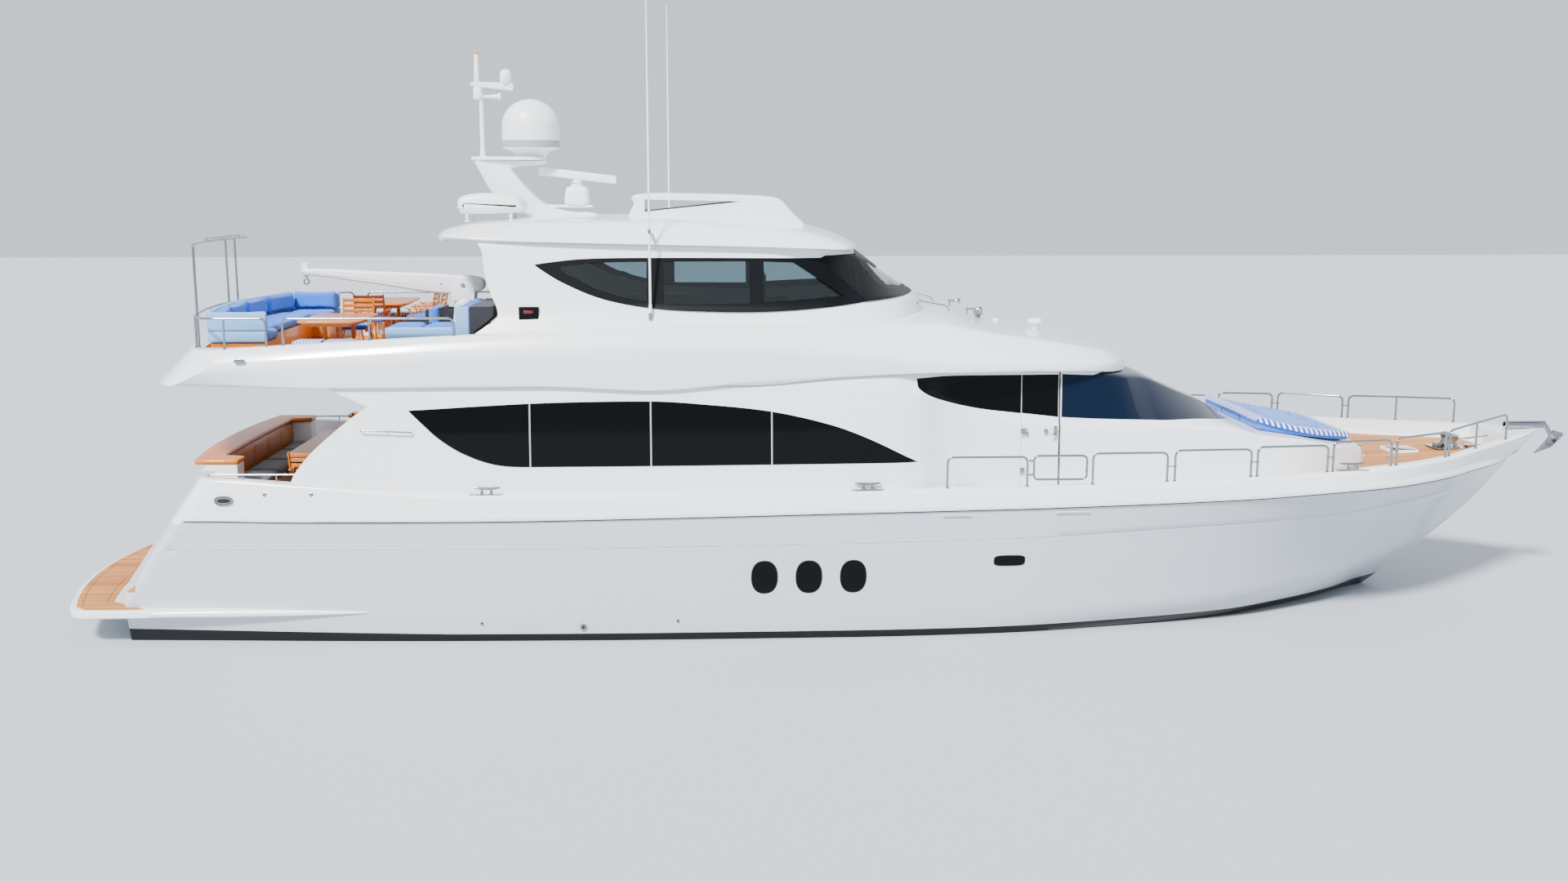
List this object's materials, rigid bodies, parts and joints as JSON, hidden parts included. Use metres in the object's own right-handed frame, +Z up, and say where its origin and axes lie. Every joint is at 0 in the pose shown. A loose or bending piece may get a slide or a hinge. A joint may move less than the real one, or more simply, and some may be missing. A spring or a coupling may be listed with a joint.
{
  "type": "motor yacht",
  "caption": "Flybridge motor yacht with enclosed skylounge, full-beam saloon, raised pilothouse, swim platform, crane and radar mast.",
  "frame": {"origin": "on the centreline amidships, in the plane of the water surface", "axes": "+X to the bow, +Y to port, +Z up"},
  "size_m": [25.055, 6.5, 11.6448],
  "materials": {
    "gelcoat_topsides": "gloss gelcoat, black below the boot top",
    "gelcoat_white": "gloss white gelcoat",
    "painted_aluminium": "gloss white paint",
    "engine_enamel": "satin enamel",
    "tinted_glass": "polished, near black",
    "clear_glass": "polished, light tint",
    "stainless_steel": "polished",
    "varnished_teak": "gloss varnish",
    "blue_fabric": "woven, matte",
    "grey_fabric": "woven, matte",
    "striped_cotton": "terry, royal blue and white stripes",
    "bronze": "cast and machined"
  },
  "bodies": {
    "yacht": {"hull": "gelcoat_topsides", "strut_port": "bronze", "strut_starboard": "bronze", "swim_platform": "gelcoat_white", "engine_port": "engine_enamel", "engine_starboard": "engine_enamel", "upper_deck": "gelcoat_white", "main_deck_house": "gelcoat_white", "salon_glass_port": "tinted_glass", "salon_glass_starboard": "tinted_glass", "pilothouse_glass_port": "tinted_glass", "pilothouse_glass_starboard": "tinted_glass", "pilothouse_windscreen": "tinted_glass", "hardtop": "gelcoat_white", "skylounge": "gelcoat_white", "skylounge_glass_port": "clear_glass", "skylounge_glass_starboard": "clear_glass", "skylounge_windscreen": "clear_glass", "roof_coaming": "gelcoat_white", "mast": "gelcoat_white", "sat_dome": "gelcoat_white", "radar_pedestal": "gelcoat_white", "raft_pod": "gelcoat_white", "whip_starboard": "gelcoat_white", "whip_port": "gelcoat_white", "crane_pedestal": "painted_aluminium", "aft_frame": "stainless_steel", "fly_rail_aft": "stainless_steel", "fly_rail_port": "stainless_steel", "fly_rail_starboard": "stainless_steel", "fly_settee": "varnished_teak", "fly_settee_cushion": "blue_fabric", "fly_table_starboard": "varnished_teak", "fly_table_port": "varnished_teak", "fly_bench": "varnished_teak", "fly_bench_cushion": "blue_fabric", "coaming_cap": "varnished_teak", "cockpit_seat": "grey_fabric", "cockpit_table": "varnished_teak", "rail_aft_port": "stainless_steel", "rail_aft_starboard": "stainless_steel", "rail_fore_port": "stainless_steel", "rail_fore_starboard": "stainless_steel", "anchor_roller": "stainless_steel", "anchor": "stainless_steel", "sunpad": "blue_fabric", "towel": "striped_cotton"},
    "radar_array": {"radar_array": "gelcoat_white"},
    "crane_head": {"crane_head": "painted_aluminium"},
    "crane_boom": {"crane_boom": "painted_aluminium"},
    "pilothouse_door_port": {"pilothouse_door_port": "gelcoat_white"},
    "pilothouse_door_starboard": {"pilothouse_door_starboard": "gelcoat_white"},
    "saloon_door": {"saloon_door": "tinted_glass"},
    "gate_port": {"gate_port": "stainless_steel"},
    "gate_starboard": {"gate_starboard": "stainless_steel"},
    "propeller_port": {"propeller_port": "bronze"},
    "propeller_starboard": {"propeller_starboard": "bronze"},
    "rudder_port": {"rudder_port": "bronze"},
    "rudder_starboard": {"rudder_starboard": "bronze"}
  },
  "joints": [
    {"name": "propeller_port_turns", "type": "hinge", "parent": "yacht", "child": "propeller_port", "pos_m": [-9.9, 1.25, -1.15], "axis": [0.9848, 0, 0.1736], "continuous": true},
    {"name": "propeller_starboard_turns", "type": "hinge", "parent": "yacht", "child": "propeller_starboard", "pos_m": [-9.9, -1.25, -1.15], "axis": [0.9848, 0, 0.1736], "continuous": true},
    {"name": "rudder_starboard_steers", "type": "hinge", "parent": "yacht", "child": "rudder_starboard", "pos_m": [-10.55, -1.25, -0.6], "axis": [0, 0, 1], "range_deg": [-35, 35]},
    {"name": "rudder_port_steers", "type": "hinge", "parent": "yacht", "child": "rudder_port", "pos_m": [-10.55, 1.25, -0.6], "axis": [0, 0, 1], "range_deg": [-35, 35]},
    {"name": "radar_turns", "type": "hinge", "parent": "yacht", "child": "radar_array", "pos_m": [-4.28, 0, 6.95], "axis": [0.1167, 0, 0.9932], "continuous": true},
    {"name": "crane_slews", "type": "hinge", "parent": "yacht", "child": "crane_head", "pos_m": [-6.185, 0, 4.96], "axis": [0, 0, 1], "range_deg": [-60, 60]},
    {"name": "crane_luffs", "type": "hinge", "parent": "crane_head", "child": "crane_boom", "pos_m": [-6.185, 0, 5.29], "axis": [0, 1, 0], "range_deg": [0, 25]},
    {"name": "pilothouse_door_port_opens", "type": "hinge", "parent": "yacht", "child": "pilothouse_door_port", "pos_m": [2.74, 2.5, 3.1], "axis": [0, 0, 1], "range_deg": [0, 45]},
    {"name": "pilothouse_door_starboard_opens", "type": "hinge", "parent": "yacht", "child": "pilothouse_door_starboard", "pos_m": [2.74, -2.5, 3.1], "axis": [0, 0, -1], "range_deg": [0, 45]},
    {"name": "saloon_door_slides", "type": "slide", "parent": "yacht", "child": "saloon_door", "axis": [0, 1, 0], "range_m": [0, 1.2]},
    {"name": "gate_port_opens", "type": "hinge", "parent": "yacht", "child": "gate_port", "pos_m": [2.73, 3.077, 2.7], "axis": [0, 0, 1], "range_deg": [0, 90]},
    {"name": "gate_starboard_opens", "type": "hinge", "parent": "yacht", "child": "gate_starboard", "pos_m": [2.73, -3.077, 2.7], "axis": [0, 0, -1], "range_deg": [0, 90]}
  ],
  "couplings": [
    {"joint": "rudder_port_steers", "follows": "rudder_starboard_steers", "ratio": 1}
  ]
}
